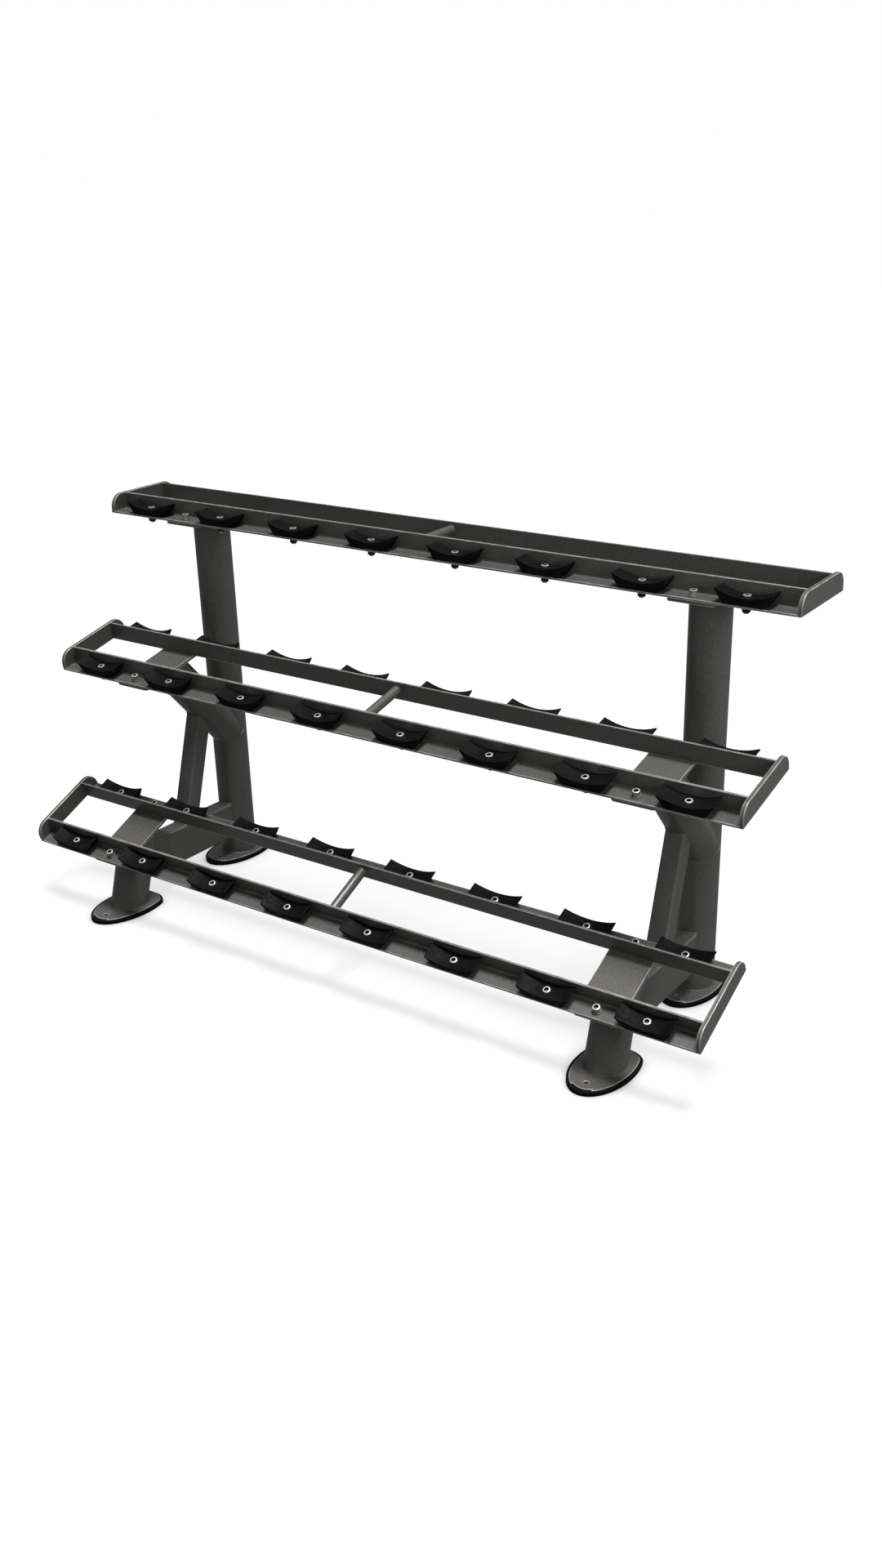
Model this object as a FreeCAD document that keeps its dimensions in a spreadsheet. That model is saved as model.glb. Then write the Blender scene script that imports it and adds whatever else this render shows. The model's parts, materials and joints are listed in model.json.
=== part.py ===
import FreeCAD, Part
import math
import os
import Sketcher

# Three-tier dumbbell rack.  Frame: +X along the rack, +Y to its rear, +Z up, and the origin on
# the floor below the middle of the rack.  Each tier has a frame of its own: X along the rack,
# Y rearward along the tilted tier and Z square to it, with its origin on the underside of the
# rails, midway between them.

V = FreeCAD.Vector
DOC = FreeCAD.newDocument("DumbbellRack")
SHEET = DOC.addObject("Spreadsheet::Sheet", "Sizes")
TIERS = ("bottom", "middle", "top")
PARTS = []

# Driving dimensions: millimetres and degrees.
SIZES = (
    # saddles
    ("saddle_pitch", 250), ("saddle_count", 8), ("saddle_top_half", 67), ("saddle_foot_half", 47),
    ("saddle_height", 34), ("saddle_tip", 4), ("saddle_arc_radius", 150), ("saddle_depth", 45),
    ("saddle_heel_radius", 6), ("saddle_edge_radius", 1.5), ("saddle_floor", 9),
    ("saddle_bore_radius", 10.5),
    # rails, end plates and cross tubes
    ("rail_length", 1996), ("rail_leg", 50), ("rail_thickness", 5), ("rail_root_radius", 5),
    ("rail_toe_radius", 1.5), ("rail_gap", 142), ("end_plate_thickness", 10),
    ("end_plate_radius", 36), ("end_plate_edge", 1.5), ("cross_tube_radius", 12.5),
    ("cross_tube_wall", 2), ("cross_tube_height", 28),
    # tier frames
    ("bottom_tier_y", -169.5), ("bottom_tier_z", 212), ("bottom_tier_tilt", 25),
    ("middle_tier_y", -20.5), ("middle_tier_z", 656), ("middle_tier_tilt", 14),
    ("top_tier_y", 212.5), ("top_tier_z", 1028), ("top_tier_tilt", 1.5),
    # round tubes of the uprights
    ("upright_spacing", 1500), ("tube_radius", 50), ("tube_wall", 4), ("tube_overrun", 40),
    ("column_lean", 2.2), ("column_length", 1100), ("post_lean", 15.5), ("post_length", 320),
    ("arm_slope", 47), ("arm_shift", 8), ("arm_overrun", 100), ("arm_length", 466),
    # rectangular bars of the uprights
    ("bar_width", 50), ("bar_wall", 3), ("bar_radius", 5), ("link_depth", 105),
    ("link_length", 427), ("link_middle_y", 33.5), ("link_middle_z", 120.5),
    ("brace_lean", 15), ("brace_foot_y", 32.5), ("brace_length", 370),
    # mount plates
    ("mount_plate_width", 114), ("mount_plate_length", 238), ("mount_plate_thickness", 8),
    ("mount_plate_radius", 12),
    # feet
    ("foot_spacing", 463), ("foot_middle_y", 20), ("foot_half_width", 65.5), ("foot_toe", 122),
    ("foot_heel", 82), ("foot_heel_half_width", 67.5), ("foot_heel_radius", 50),
    ("foot_plate_thickness", 6), ("foot_pad_floor", 6), ("foot_pad_height", 11.2),
    ("foot_pad_lip", 6.5), ("foot_hole_radius", 6.5), ("foot_hole_offset", 90),
    ("toe_half_width", 25.5), ("toe_setback", 6.4),
    # fasteners
    ("bolt_radius", 6), ("bolt_head_radius", 9), ("bolt_head_height", 12),
    ("bolt_head_edge", 0.8), ("socket_flats", 10), ("socket_depth", 6), ("bolt_hole_radius", 6.5),
    ("saddle_bolt_length", 30), ("mount_bolt_length", 16), ("washer_radius", 12),
    ("washer_thickness", 2.5), ("mount_washer_thickness", 3), ("nut_flats", 18),
    ("nut_height", 10),
    # edge of the blocks that trim the tubes
    ("trim_size", 1200),
)


# ---------------------------------------------------------------- sheet and formulas

def fill_sheet():
    """Write the driving dimensions to the sheet, one named cell each."""
    for row, (name, value) in enumerate(SIZES, start=1):
        SHEET.set("A%d" % row, name)
        SHEET.set("B%d" % row, str(value))
        SHEET.setAlias("B%d" % row, name)
    DOC.recompute()


def size(name):
    return float(SHEET.get(name))


def cells(formula):
    """Turn a formula such as "{rail_gap} / 2" into an expression on the sheet."""
    for name, _ in SIZES:
        formula = formula.replace("{" + name + "}", "Sizes." + name)
    return formula


def value(formula):
    """Present value of a formula."""
    return float(SHEET.evalExpression(cells(formula)))


def bind(thing, **formulas):
    """Bind properties of an object to formulas."""
    for prop, formula in formulas.items():
        thing.setExpression(prop, cells(formula))


BOLT_LINE = "({rail_gap} / 2 + ({rail_leg} + {rail_thickness}) / 2)"
SADDLE_RUN = "(({saddle_count} - 1) * {saddle_pitch})"


# ---------------------------------------------------------------- placements

def shifted(x=0.0, y=0.0, z=0.0):
    return FreeCAD.Placement(V(x, y, z), FreeCAD.Rotation())


def turned_x(y, z, angle):
    """Placement at (0, y, z), turned by angle degrees about X."""
    return FreeCAD.Placement(V(0, y, z), FreeCAD.Rotation(V(1, 0, 0), angle))


def tier_frame(tier):
    return turned_x(size(tier + "_tier_y"), size(tier + "_tier_z"), size(tier + "_tier_tilt"))


def half_turned():
    return FreeCAD.Placement(V(), FreeCAD.Rotation(V(0, 0, 1), 180))


def keep(thing, label, placement):
    """Name a finished sub-part, place it and list it for export."""
    thing.Label = label
    thing.Placement = placement
    PARTS.append(thing)
    return thing


# ---------------------------------------------------------------- bodies and sketches

def new_body(name):
    body = DOC.addObject("PartDesign::Body", name)
    DOC.recompute()
    return body


def datum(body, role):
    """One of the body's own origin planes or axes."""
    return next(item for item in body.Origin.OriginFeatures if item.Role == role)


def new_sketch(body, role, lift=None):
    """Sketch on an origin plane of the body, lifted off it by a formula."""
    sketch = body.newObject("Sketcher::SketchObject", "Sketch")
    sketch.AttachmentSupport = [(datum(body, role), "")]
    sketch.MapMode = "FlatFace"
    if lift:
        bind(sketch, **{".AttachmentOffset.Base.z": lift})
    return sketch


def dimension(sketch, kind, *references, formula):
    """Add a dimension at its present value and bind it to its formula."""
    index = sketch.addConstraint(Sketcher.Constraint(kind, *references, value(formula)))
    sketch.setExpression("Constraints[%d]" % index, cells(formula))


def pin(sketch, item, end, x, y):
    """Hold a point of the sketch at the formulas x and y; 0 stands for the axis itself."""
    for kind, axis, formula in (("DistanceX", -2, x), ("DistanceY", -1, y)):
        if formula == "0":
            sketch.addConstraint(Sketcher.Constraint("PointOnObject", item, end, axis))
        else:
            dimension(sketch, kind, item, end, formula=formula)


def add_circle(sketch, radius, x="0", y="0"):
    centre = V(value(x), value(y), 0)
    ring = sketch.addGeometry(Part.Circle(centre, V(0, 0, 1), value(radius)), False)
    dimension(sketch, "Radius", ring, formula=radius)
    pin(sketch, ring, 3, x, y)


def add_outline(sketch, corners, hollow_radius=None):
    """Closed outline through corners given as formulas (x, y).

    With hollow_radius, an arc of that radius, hollow upward, joins the last corner, on the
    right, to the first one, on the left at the same height."""
    points = [V(value(x), value(y), 0) for x, y in corners]
    count = len(points)
    straight = count - 1 if hollow_radius else count
    sides = [sketch.addGeometry(Part.LineSegment(points[i], points[(i + 1) % count]), False)
             for i in range(straight)]
    for i in range(straight - 1):
        sketch.addConstraint(Sketcher.Constraint("Coincident", sides[i], 2, sides[i + 1], 1))
    for i in range(straight):
        pin(sketch, sides[i], 1, *corners[i])
    if hollow_radius:
        pin(sketch, sides[-1], 2, *corners[-1])
        add_hollow(sketch, sides, corners[-1], hollow_radius)
    else:
        sketch.addConstraint(Sketcher.Constraint("Coincident", sides[-1], 2, sides[0], 1))


def add_hollow(sketch, sides, tip, radius):
    """Arc centred above the Y axis, from the outline's first point to its last one."""
    half, height = tip
    centre = "%s + sqrt((%s)^2 - (%s)^2)" % (height, radius, half)
    opening = math.asin(value(half) / value(radius))
    circle = Part.Circle(V(0, value(centre), 0), V(0, 0, 1), value(radius))
    down = -math.pi / 2
    arc = sketch.addGeometry(Part.ArcOfCircle(circle, down - opening, down + opening), False)
    sketch.addConstraint(Sketcher.Constraint("Coincident", arc, 1, sides[0], 1))
    sketch.addConstraint(Sketcher.Constraint("Coincident", arc, 2, sides[-1], 2))
    dimension(sketch, "DistanceY", arc, 3, formula=centre)


def centred_corners(width, depth):
    """Corners of a rectangle about the origin, from two formulas."""
    x, y = width + " / 2", depth + " / 2"
    return [("-(" + x + ")", "-(" + y + ")"), (x, "-(" + y + ")"), (x, y), ("-(" + x + ")", y)]


def add_hexagon(sketch, flats):
    """Hexagon about the origin with two corners on the X axis."""
    tall, wide = flats + " / 2", flats + " / sqrt(3)"
    half = wide + " / 2"
    add_outline(sketch, [(wide, "0"), (half, tall), ("-(" + half + ")", tall),
                         ("-(" + wide + ")", "0"), ("-(" + half + ")", "-(" + tall + ")"),
                         (half, "-(" + tall + ")")])


# ---------------------------------------------------------------- features

def pad(body, sketch, length, side="One side", reverse=False):
    feature = body.newObject("PartDesign::Pad", "Pad")
    feature.Profile = sketch
    feature.SideType = side
    feature.Reversed = reverse
    bind(feature, Length=length)
    DOC.recompute()
    return feature


def pocket(body, sketch, length, side="One side", reverse=False):
    """Pocket that must take something away."""
    before = body.Shape.Volume
    feature = body.newObject("PartDesign::Pocket", "Pocket")
    feature.Profile = sketch
    feature.SideType = side
    feature.Reversed = reverse
    bind(feature, Length=length)
    DOC.recompute()
    if body.Shape.Volume > before - 1:
        raise RuntimeError("a pocket of %s cuts nothing" % body.Name)
    return feature


def fillet(body, radius, chosen):
    """Round the edges of the body's tip for which chosen(edge) is true."""
    tip = body.Tip
    names = ["Edge%d" % i for i, edge in enumerate(tip.Shape.Edges, start=1) if chosen(edge)]
    if not names:
        raise RuntimeError("no edges to round on %s" % body.Name)
    feature = body.newObject("PartDesign::Fillet", "Fillet")
    feature.Base = (tip, names)
    bind(feature, Radius=radius)
    DOC.recompute()
    return feature


def repeat(body, run, count, across=None, features=None):
    """Repeat features, or the whole body, along X and, with across, twice along Y."""
    pattern = body.newObject("PartDesign::LinearPattern", "Pattern")
    if features:
        pattern.Originals = features
    else:
        pattern.TransformMode = "Whole shape"
    pattern.Direction = (datum(body, "X_Axis"), [""])
    bind(pattern, Length=run, Occurrences=count)
    if across:
        pattern.Direction2 = (datum(body, "Y_Axis"), [""])
        pattern.Occurrences2 = 2
        bind(pattern, Length2=across)
    body.Tip = pattern
    DOC.recompute()
    return pattern


def ends(edge):
    return edge.Vertexes[0].Point, edge.Vertexes[-1].Point


def runs_along(edge, axis):
    """True for a straight edge along axis 0, 1 or 2."""
    start, end = ends(edge)
    way = end - start
    return way.Length > 0.1 and abs(abs(way[axis]) - way.Length) < 1e-6


def lies_at(edge, axis, level):
    """True when the whole edge lies at one level of an axis."""
    box = edge.BoundBox
    low = (box.XMin, box.YMin, box.ZMin)[axis]
    high = (box.XMax, box.YMax, box.ZMax)[axis]
    return abs(low - level) < 1e-4 and abs(high - level) < 1e-4


# ---------------------------------------------------------------- tiers

def make_rail(name, label, placement):
    """Equal-leg angle, its upright leg inward, with holes for saddle and mount bolts."""
    body = new_body(name)
    profile = new_sketch(body, "YZ_Plane")
    leg, wall = "{rail_leg}", "{rail_thickness}"
    add_outline(profile, [("0", "0"), (leg, "0"), (leg, wall), (wall, wall), (wall, leg), ("0", leg)])
    pad(body, profile, "{rail_length}", side="Symmetric")
    wall_now, leg_now = size("rail_thickness"), size("rail_leg")
    fillet(body, "{rail_root_radius}", lambda edge: runs_along(edge, 0)
           and lies_at(edge, 1, wall_now) and lies_at(edge, 2, wall_now))
    fillet(body, "{rail_toe_radius}", lambda edge: runs_along(edge, 0)
           and ((lies_at(edge, 1, leg_now) and lies_at(edge, 2, wall_now))
                or (lies_at(edge, 1, wall_now) and lies_at(edge, 2, leg_now))))
    line = "(({rail_leg} + {rail_thickness}) / 2)"
    for run, count in ((SADDLE_RUN, "{saddle_count}"), ("{upright_spacing}", "2")):
        hole = new_sketch(body, "XY_Plane")
        add_circle(hole, "{bolt_hole_radius}", "-(" + run + " / 2)", line)
        cut = pocket(body, hole, "{rail_thickness} * 3", side="Symmetric")
        repeat(body, run, count, features=[cut])
    return keep(body, label, placement)


def make_end_plate(name, label, placement):
    """Plate that closes a tier, with two large upper corners."""
    body = new_body(name)
    profile = new_sketch(body, "YZ_Plane")
    half = "({rail_gap} / 2 + {rail_leg})"
    add_outline(profile, [("-(" + half + ")", "0"), (half, "0"), (half, "{rail_leg}"),
                          ("-(" + half + ")", "{rail_leg}")])
    pad(body, profile, "{end_plate_thickness}", side="Symmetric")
    top = size("rail_leg")
    fillet(body, "{end_plate_radius}", lambda edge: runs_along(edge, 0) and lies_at(edge, 2, top))
    face = size("end_plate_thickness") / 2
    fillet(body, "{end_plate_edge}", lambda edge: lies_at(edge, 0, face) or lies_at(edge, 0, -face))
    return keep(body, label, placement)


def make_cross_tube(name, label, placement):
    body = new_body(name)
    profile = new_sketch(body, "XZ_Plane")
    add_circle(profile, "{cross_tube_radius}", "0", "{cross_tube_height}")
    add_circle(profile, "{cross_tube_radius} - {cross_tube_wall}", "0", "{cross_tube_height}")
    pad(body, profile, "{rail_gap}", side="Symmetric")
    return keep(body, label, placement)


def make_saddles(name, label, placement):
    """Row of saddles: blocks with a hollowed top, flared ends and a sunken bolt seat."""
    body = new_body(name)
    profile = new_sketch(body, "XZ_Plane")
    foot, top = "{saddle_foot_half}", "{saddle_top_half}"
    shoulder = "{saddle_height} - {saddle_tip}"
    add_outline(profile, [("-" + top, "{saddle_height}"), ("-" + top, shoulder), ("-" + foot, "0"),
                          (foot, "0"), (top, shoulder), (top, "{saddle_height}")],
                hollow_radius="{saddle_arc_radius}")
    pad(body, profile, "{saddle_depth}", side="Symmetric")
    side = size("saddle_depth") / 2
    fillet(body, "{saddle_heel_radius}", lambda edge: lies_at(edge, 2, 0))
    fillet(body, "{saddle_edge_radius}", lambda edge: is_upper_edge(edge, side))
    seat = new_sketch(body, "XY_Plane", lift="{saddle_floor}")
    add_circle(seat, "{saddle_bore_radius}")
    pocket(body, seat, "{saddle_height}", reverse=True)
    hole = new_sketch(body, "XY_Plane")
    add_circle(hole, "{bolt_hole_radius}")
    pocket(body, hole, "{saddle_height} * 2", side="Symmetric")
    repeat(body, SADDLE_RUN, "{saddle_count}")
    return keep(body, label, placement * shifted(x=-value(SADDLE_RUN) / 2))


def is_upper_edge(edge, side):
    """True for the edges of the hollow top: both arcs and both tips."""
    top_now = size("saddle_height")
    box = edge.BoundBox
    on_face = lies_at(edge, 1, side) or lies_at(edge, 1, -side)
    is_arc = on_face and box.XLength > size("saddle_top_half") and box.ZMax > top_now - 0.1
    is_tip = runs_along(edge, 1) and lies_at(edge, 2, top_now)
    return is_arc or is_tip


# ---------------------------------------------------------------- fasteners

def make_bolts(name, label, placement, length, run, count, across):
    """Cap-head bolts, their heads standing on Z = 0, two rows of them along X."""
    body = new_body(name)
    head = new_sketch(body, "XY_Plane")
    add_circle(head, "{bolt_head_radius}")
    pad(body, head, "{bolt_head_height}")
    top = size("bolt_head_height")
    fillet(body, "{bolt_head_edge}", lambda edge: lies_at(edge, 2, top))
    shank = new_sketch(body, "XY_Plane")
    add_circle(shank, "{bolt_radius}")
    pad(body, shank, length, reverse=True)
    socket = new_sketch(body, "XY_Plane", lift="{bolt_head_height}")
    add_hexagon(socket, "{socket_flats}")
    pocket(body, socket, "{socket_depth}")
    repeat(body, run, count, across=across)
    return keep(body, label, placement)


def make_washers(name, label, placement, thickness, run, count, across):
    body = new_body(name)
    profile = new_sketch(body, "XY_Plane")
    add_circle(profile, "{washer_radius}")
    add_circle(profile, "{bolt_hole_radius}")
    pad(body, profile, thickness)
    repeat(body, run, count, across=across)
    return keep(body, label, placement)


def make_nuts(name, label, placement, run, count, across):
    body = new_body(name)
    profile = new_sketch(body, "XY_Plane")
    add_hexagon(profile, "{nut_flats}")
    add_circle(profile, "{bolt_radius}")
    pad(body, profile, "{nut_height}", reverse=True)
    repeat(body, run, count, across=across)
    return keep(body, label, placement)


def make_fasteners(tier, frame):
    """Bolts, washers and nuts of one tier: 2 x 8 for its saddles, 2 x 2 for its uprights."""
    across = "2 * " + BOLT_LINE
    rows = {"saddle": (SADDLE_RUN, "{saddle_count}", across),
            "mount": ("{upright_spacing}", "2", across)}
    start = {kind: frame * shifted(x=-value(rows[kind][0]) / 2, y=-value(BOLT_LINE))
             for kind in rows}
    seat = value("{rail_thickness} + {saddle_floor}")
    make_bolts("SaddleBolts", tier + "_saddle_bolts", start["saddle"] * shifted(z=seat),
               "{saddle_bolt_length}", *rows["saddle"])
    below = -size("washer_thickness")
    make_washers("SaddleWashers", tier + "_saddle_washers", start["saddle"] * shifted(z=below),
                 "{washer_thickness}", *rows["saddle"])
    make_nuts("SaddleNuts", tier + "_saddle_nuts", start["saddle"] * shifted(z=below), *rows["saddle"])
    flange = size("rail_thickness")
    make_washers("MountWashers", tier + "_mount_washers", start["mount"] * shifted(z=flange),
                 "{mount_washer_thickness}", *rows["mount"])
    seat = value("{rail_thickness} + {mount_washer_thickness}")
    make_bolts("MountBolts", tier + "_mount_bolts", start["mount"] * shifted(z=seat),
               "{mount_bolt_length}", *rows["mount"])


# ---------------------------------------------------------------- solids for the uprights

def cylinder(radius, height, placement):
    thing = DOC.addObject("Part::Cylinder", "Cylinder")
    bind(thing, Radius=radius, Height=height)
    thing.Placement = placement
    return thing


def trim_block(plane, above):
    """Large block that fills one side of a plane, above it or below it."""
    thing = DOC.addObject("Part::Box", "TrimBlock")
    bind(thing, Length="{trim_size}", Width="{trim_size}", Height="{trim_size}")
    edge = size("trim_size")
    thing.Placement = plane * shifted(-edge / 2, -edge / 2, 0 if above else -edge)
    return thing


def without(base, *tools):
    """Cut tools from a base, one after another."""
    for tool in tools:
        cut = DOC.addObject("Part::Cut", "Cut")
        cut.Base = base
        cut.Tool = tool
        base = cut
    return base


def ellipse_block(half_width, half_length, height, z):
    """Upright solid with an elliptic outline, longer along Y, standing at height z."""
    outline = DOC.addObject("Part::Ellipse", "Outline")
    bind(outline, MajorRadius=half_length, MinorRadius=half_width)
    outline.Placement = FreeCAD.Placement(V(0, 0, z), FreeCAD.Rotation(V(0, 0, 1), 90))
    block = DOC.addObject("Part::Extrusion", "Block")
    block.Base = outline
    block.DirMode = "Normal"
    block.Solid = True
    bind(block, LengthFwd=height)
    return block


def bar(width, depth, length, along):
    """Hollow rectangular bar with round corners, its length along Y or along Z."""
    body = new_body("Bar")
    profile = new_sketch(body, "XZ_Plane" if along == "Y" else "XY_Plane")
    add_outline(profile, centred_corners(width, depth))
    pad(body, profile, length, side="Symmetric" if along == "Y" else "One side")
    axis = 1 if along == "Y" else 2
    fillet(body, "{bar_radius}", lambda edge: runs_along(edge, axis))
    bore = new_sketch(body, "XZ_Plane" if along == "Y" else "XY_Plane")
    add_outline(bore, centred_corners("(" + width + " - 2 * {bar_wall})",
                                      "(" + depth + " - 2 * {bar_wall})"))
    pocket(body, bore, "2 * " + length, side="Symmetric")
    return body


# ---------------------------------------------------------------- uprights

def floor_plane():
    """Plane on which the tubes stand: the top of the foot plates."""
    return shifted(z=value("{foot_pad_floor} + {foot_plate_thickness}"))


def under_plates(tier):
    """Underside of a tier's mount plates."""
    return tier_frame(tier) * shifted(z=-size("mount_plate_thickness"))


def foot_y(kind):
    """Where the tube of a front or rear foot meets its plate."""
    side = 1 if kind == "rear" else -1
    return size("foot_middle_y") + side * size("foot_spacing") / 2


def foot_axis(kind, lean):
    """Start of a tube's axis, a little below the foot plate that carries it."""
    base = turned_x(foot_y(kind), floor_plane().Base.z, lean)
    return base * shifted(z=-size("tube_overrun"))


def column_axis():
    return foot_axis("rear", size("column_lean"))


def post_axis():
    return foot_axis("front", -size("post_lean"))


def arm_axis():
    """Axis of the arm, down and rearward through the middle of its mount plate."""
    root = tier_frame("middle").multVec(V(0, size("arm_shift"), 0))
    return turned_x(root.y, root.z, -90 - size("arm_slope")) * shifted(z=-size("arm_overrun"))


def solid_column():
    return cylinder("{tube_radius}", "{column_length}", column_axis())


def solid_post():
    return cylinder("{tube_radius}", "{post_length}", post_axis())


def bore_of(length, axis):
    return cylinder("{tube_radius} - {tube_wall}", length, axis)


def make_column(label, place):
    """Rear tube, from its foot plate to the top mount plate."""
    tube = without(solid_column(), bore_of("{column_length}", column_axis()),
                   trim_block(floor_plane(), above=False), trim_block(under_plates("top"), above=True))
    return keep(tube, label, place)


def make_post(label, place):
    """Short front tube, from its foot plate to the bottom mount plate."""
    tube = without(solid_post(), bore_of("{post_length}", post_axis()),
                   trim_block(floor_plane(), above=False),
                   trim_block(under_plates("bottom"), above=True))
    return keep(tube, label, place)


def make_arm(label, place):
    """Tube from the middle mount plate down to the column, fitted round the column."""
    tube = without(cylinder("{tube_radius}", "{arm_length}", arm_axis()),
                   bore_of("{arm_length}", arm_axis()),
                   trim_block(under_plates("middle"), above=True), solid_column())
    return keep(tube, label, place)


def make_link(label, place):
    """Deep bar between post and column, fitted round both."""
    link = bar("{bar_width}", "{link_depth}", "{link_length}", along="Y")
    link.Placement = shifted(y=size("link_middle_y"), z=size("link_middle_z"))
    return keep(without(link, solid_post(), solid_column()), label, place)


def make_brace(label, place):
    """Leaning bar from the top of the link to the underside of the arm."""
    brace = bar("{bar_width}", "{bar_width}", "{brace_length}", along="Z")
    link_top = value("{link_middle_z} + {link_depth} / 2")
    foot = turned_x(size("brace_foot_y"), link_top, -size("brace_lean"))
    brace.Placement = foot * shifted(z=-size("tube_overrun"))
    arm = cylinder("{tube_radius}", "{arm_length}", arm_axis())
    cut = without(brace, trim_block(shifted(z=link_top), above=False), arm)
    return keep(cut, label, place)


def make_mount_plate(tier, label, place):
    """Plate under both rails of a tier, with two tapped holes."""
    body = new_body("MountPlate")
    profile = new_sketch(body, "XY_Plane")
    add_outline(profile, centred_corners("{mount_plate_width}", "{mount_plate_length}"))
    pad(body, profile, "{mount_plate_thickness}", reverse=True)
    fillet(body, "{mount_plate_radius}", lambda edge: runs_along(edge, 2))
    holes = new_sketch(body, "XY_Plane")
    for sign in ("-", ""):
        add_circle(holes, "{bolt_radius}", "0", sign + BOLT_LINE)
    pocket(body, holes, "3 * {mount_plate_thickness}", side="Symmetric")
    return keep(body, label, place * tier_frame(tier))


# ---------------------------------------------------------------- feet

def heel_block(grow, height, z):
    """Upright block that ends at the heel of a foot in two large round corners."""
    half, toe, heel = ("({foot_heel_half_width} + %s)" % grow, "({foot_toe} + 2 * %s)" % grow,
                       "({foot_heel} + %s)" % grow)
    body = new_body("HeelBlock")
    profile = new_sketch(body, "XY_Plane")
    add_outline(profile, [("-" + half, "-" + toe), (half, "-" + toe), (half, heel), ("-" + half, heel)])
    pad(body, profile, height)
    back = value(heel)
    fillet(body, "{foot_heel_radius} + " + grow,
           lambda edge: runs_along(edge, 2) and lies_at(edge, 1, back))
    body.Placement = shifted(z=z)
    return body


def foot_block(grow, height, z):
    """Solid with the outline of a foot, grown all round: an oval, cut short at its heel."""
    block = DOC.addObject("Part::Common", "FootBlock")
    block.Base = ellipse_block("{foot_half_width} + " + grow, "{foot_toe} + " + grow, height, z)
    block.Tool = heel_block(grow, height, z)
    return block


def toe_strip(height, z):
    """Strip along the foot, as wide as its toe, less an oval that stops short of the toe."""
    strip = DOC.addObject("Part::Box", "ToeStrip")
    bind(strip, Length="2 * {toe_half_width}", Width="{foot_toe}", Height=height)
    strip.Placement = shifted(-size("toe_half_width"), -size("foot_toe"), z)
    return without(strip, ellipse_block("{foot_half_width}", "{foot_toe} - {toe_setback}", height, z))


def foot_hole():
    return cylinder("{foot_hole_radius}", "{trim_size}", shifted(y=-size("foot_hole_offset")))


def solid_foot_plate():
    thickness, z = "{foot_plate_thickness}", size("foot_pad_floor")
    return without(foot_block("0", thickness, z), toe_strip(thickness, z))


def make_foot_plate(label, place):
    """Steel plate with an anchor hole, its outline set back at the toe."""
    return keep(without(solid_foot_plate(), foot_hole()), label, place)


def make_foot_pad(label, place):
    """Shallow rubber tray that holds the plate, with a thin wall all round it."""
    tray = foot_block("{foot_pad_lip}", "{foot_pad_height}", 0)
    return keep(without(tray, solid_foot_plate(), foot_hole()), label, place)


# ---------------------------------------------------------------- assembly

def build_tier(tier):
    frame = tier_frame(tier)
    rear = frame * shifted(y=size("rail_gap") / 2)
    front = frame * half_turned() * shifted(y=size("rail_gap") / 2)
    flange = value("({rail_leg} + {rail_thickness}) / 2")
    seat = shifted(y=flange, z=size("rail_thickness"))
    for name, place in (("front", front), ("rear", rear)):
        make_rail("Rail", "%s_%s_rail" % (tier, name), place)
        make_saddles("Saddles", "%s_%s_saddles" % (tier, name), place * seat)
    reach = value("({rail_length} + {end_plate_thickness}) / 2")
    for name, x in (("left", -reach), ("right", reach)):
        make_end_plate("EndPlate", "%s_%s_end_plate" % (tier, name), frame * shifted(x=x))
    make_cross_tube("CrossTube", tier + "_cross_tube", frame)
    make_fasteners(tier, frame)


def build_upright(side, x):
    place = shifted(x=x)
    make_column(side + "_rear_column", place)
    make_post(side + "_front_post", place)
    make_arm(side + "_middle_arm", place)
    make_link(side + "_lower_link", place)
    make_brace(side + "_diagonal_brace", place)
    for tier in TIERS:
        make_mount_plate(tier, "%s_%s_mount_plate" % (side, tier), place)
    for kind in ("front", "rear"):
        make_foot_plate("%s_%s_foot_plate" % (side, kind), shifted(x, foot_y(kind)))
        make_foot_pad("%s_%s_foot_pad" % (side, kind), shifted(x, foot_y(kind)))


def check_document():
    """Stop on any failed object and on any sub-part without a sound shape."""
    DOC.recompute()
    for thing in DOC.Objects:
        if {"Invalid", "Error"} & set(thing.State):
            raise RuntimeError("%s (%s) failed" % (thing.Name, thing.Label))
    for thing in PARTS:
        if thing.Shape.isNull() or not thing.Shape.isValid():
            raise RuntimeError("%s has no sound shape" % thing.Label)


def export_parts():
    os.makedirs("parts", exist_ok=True)
    for thing in PARTS:
        thing.Shape.exportStep("parts/%s.step" % thing.Label)
        box = thing.Shape.BoundBox
        print("%-26s solids %2d  volume %10.0f  z %7.1f to %7.1f" %
              (thing.Label, len(thing.Shape.Solids), thing.Shape.Volume, box.ZMin, box.ZMax))


def main():
    fill_sheet()
    for tier in TIERS:
        build_tier(tier)
    for side, x in (("left", -size("upright_spacing") / 2), ("right", size("upright_spacing") / 2)):
        build_upright(side, x)
    check_document()
    export_parts()


main()
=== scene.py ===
import json
import math

import bmesh
import bpy
from mathutils import Matrix, Vector
from mathutils.bvhtree import BVHTree
from mathutils.geometry import convex_hull_2d


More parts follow.
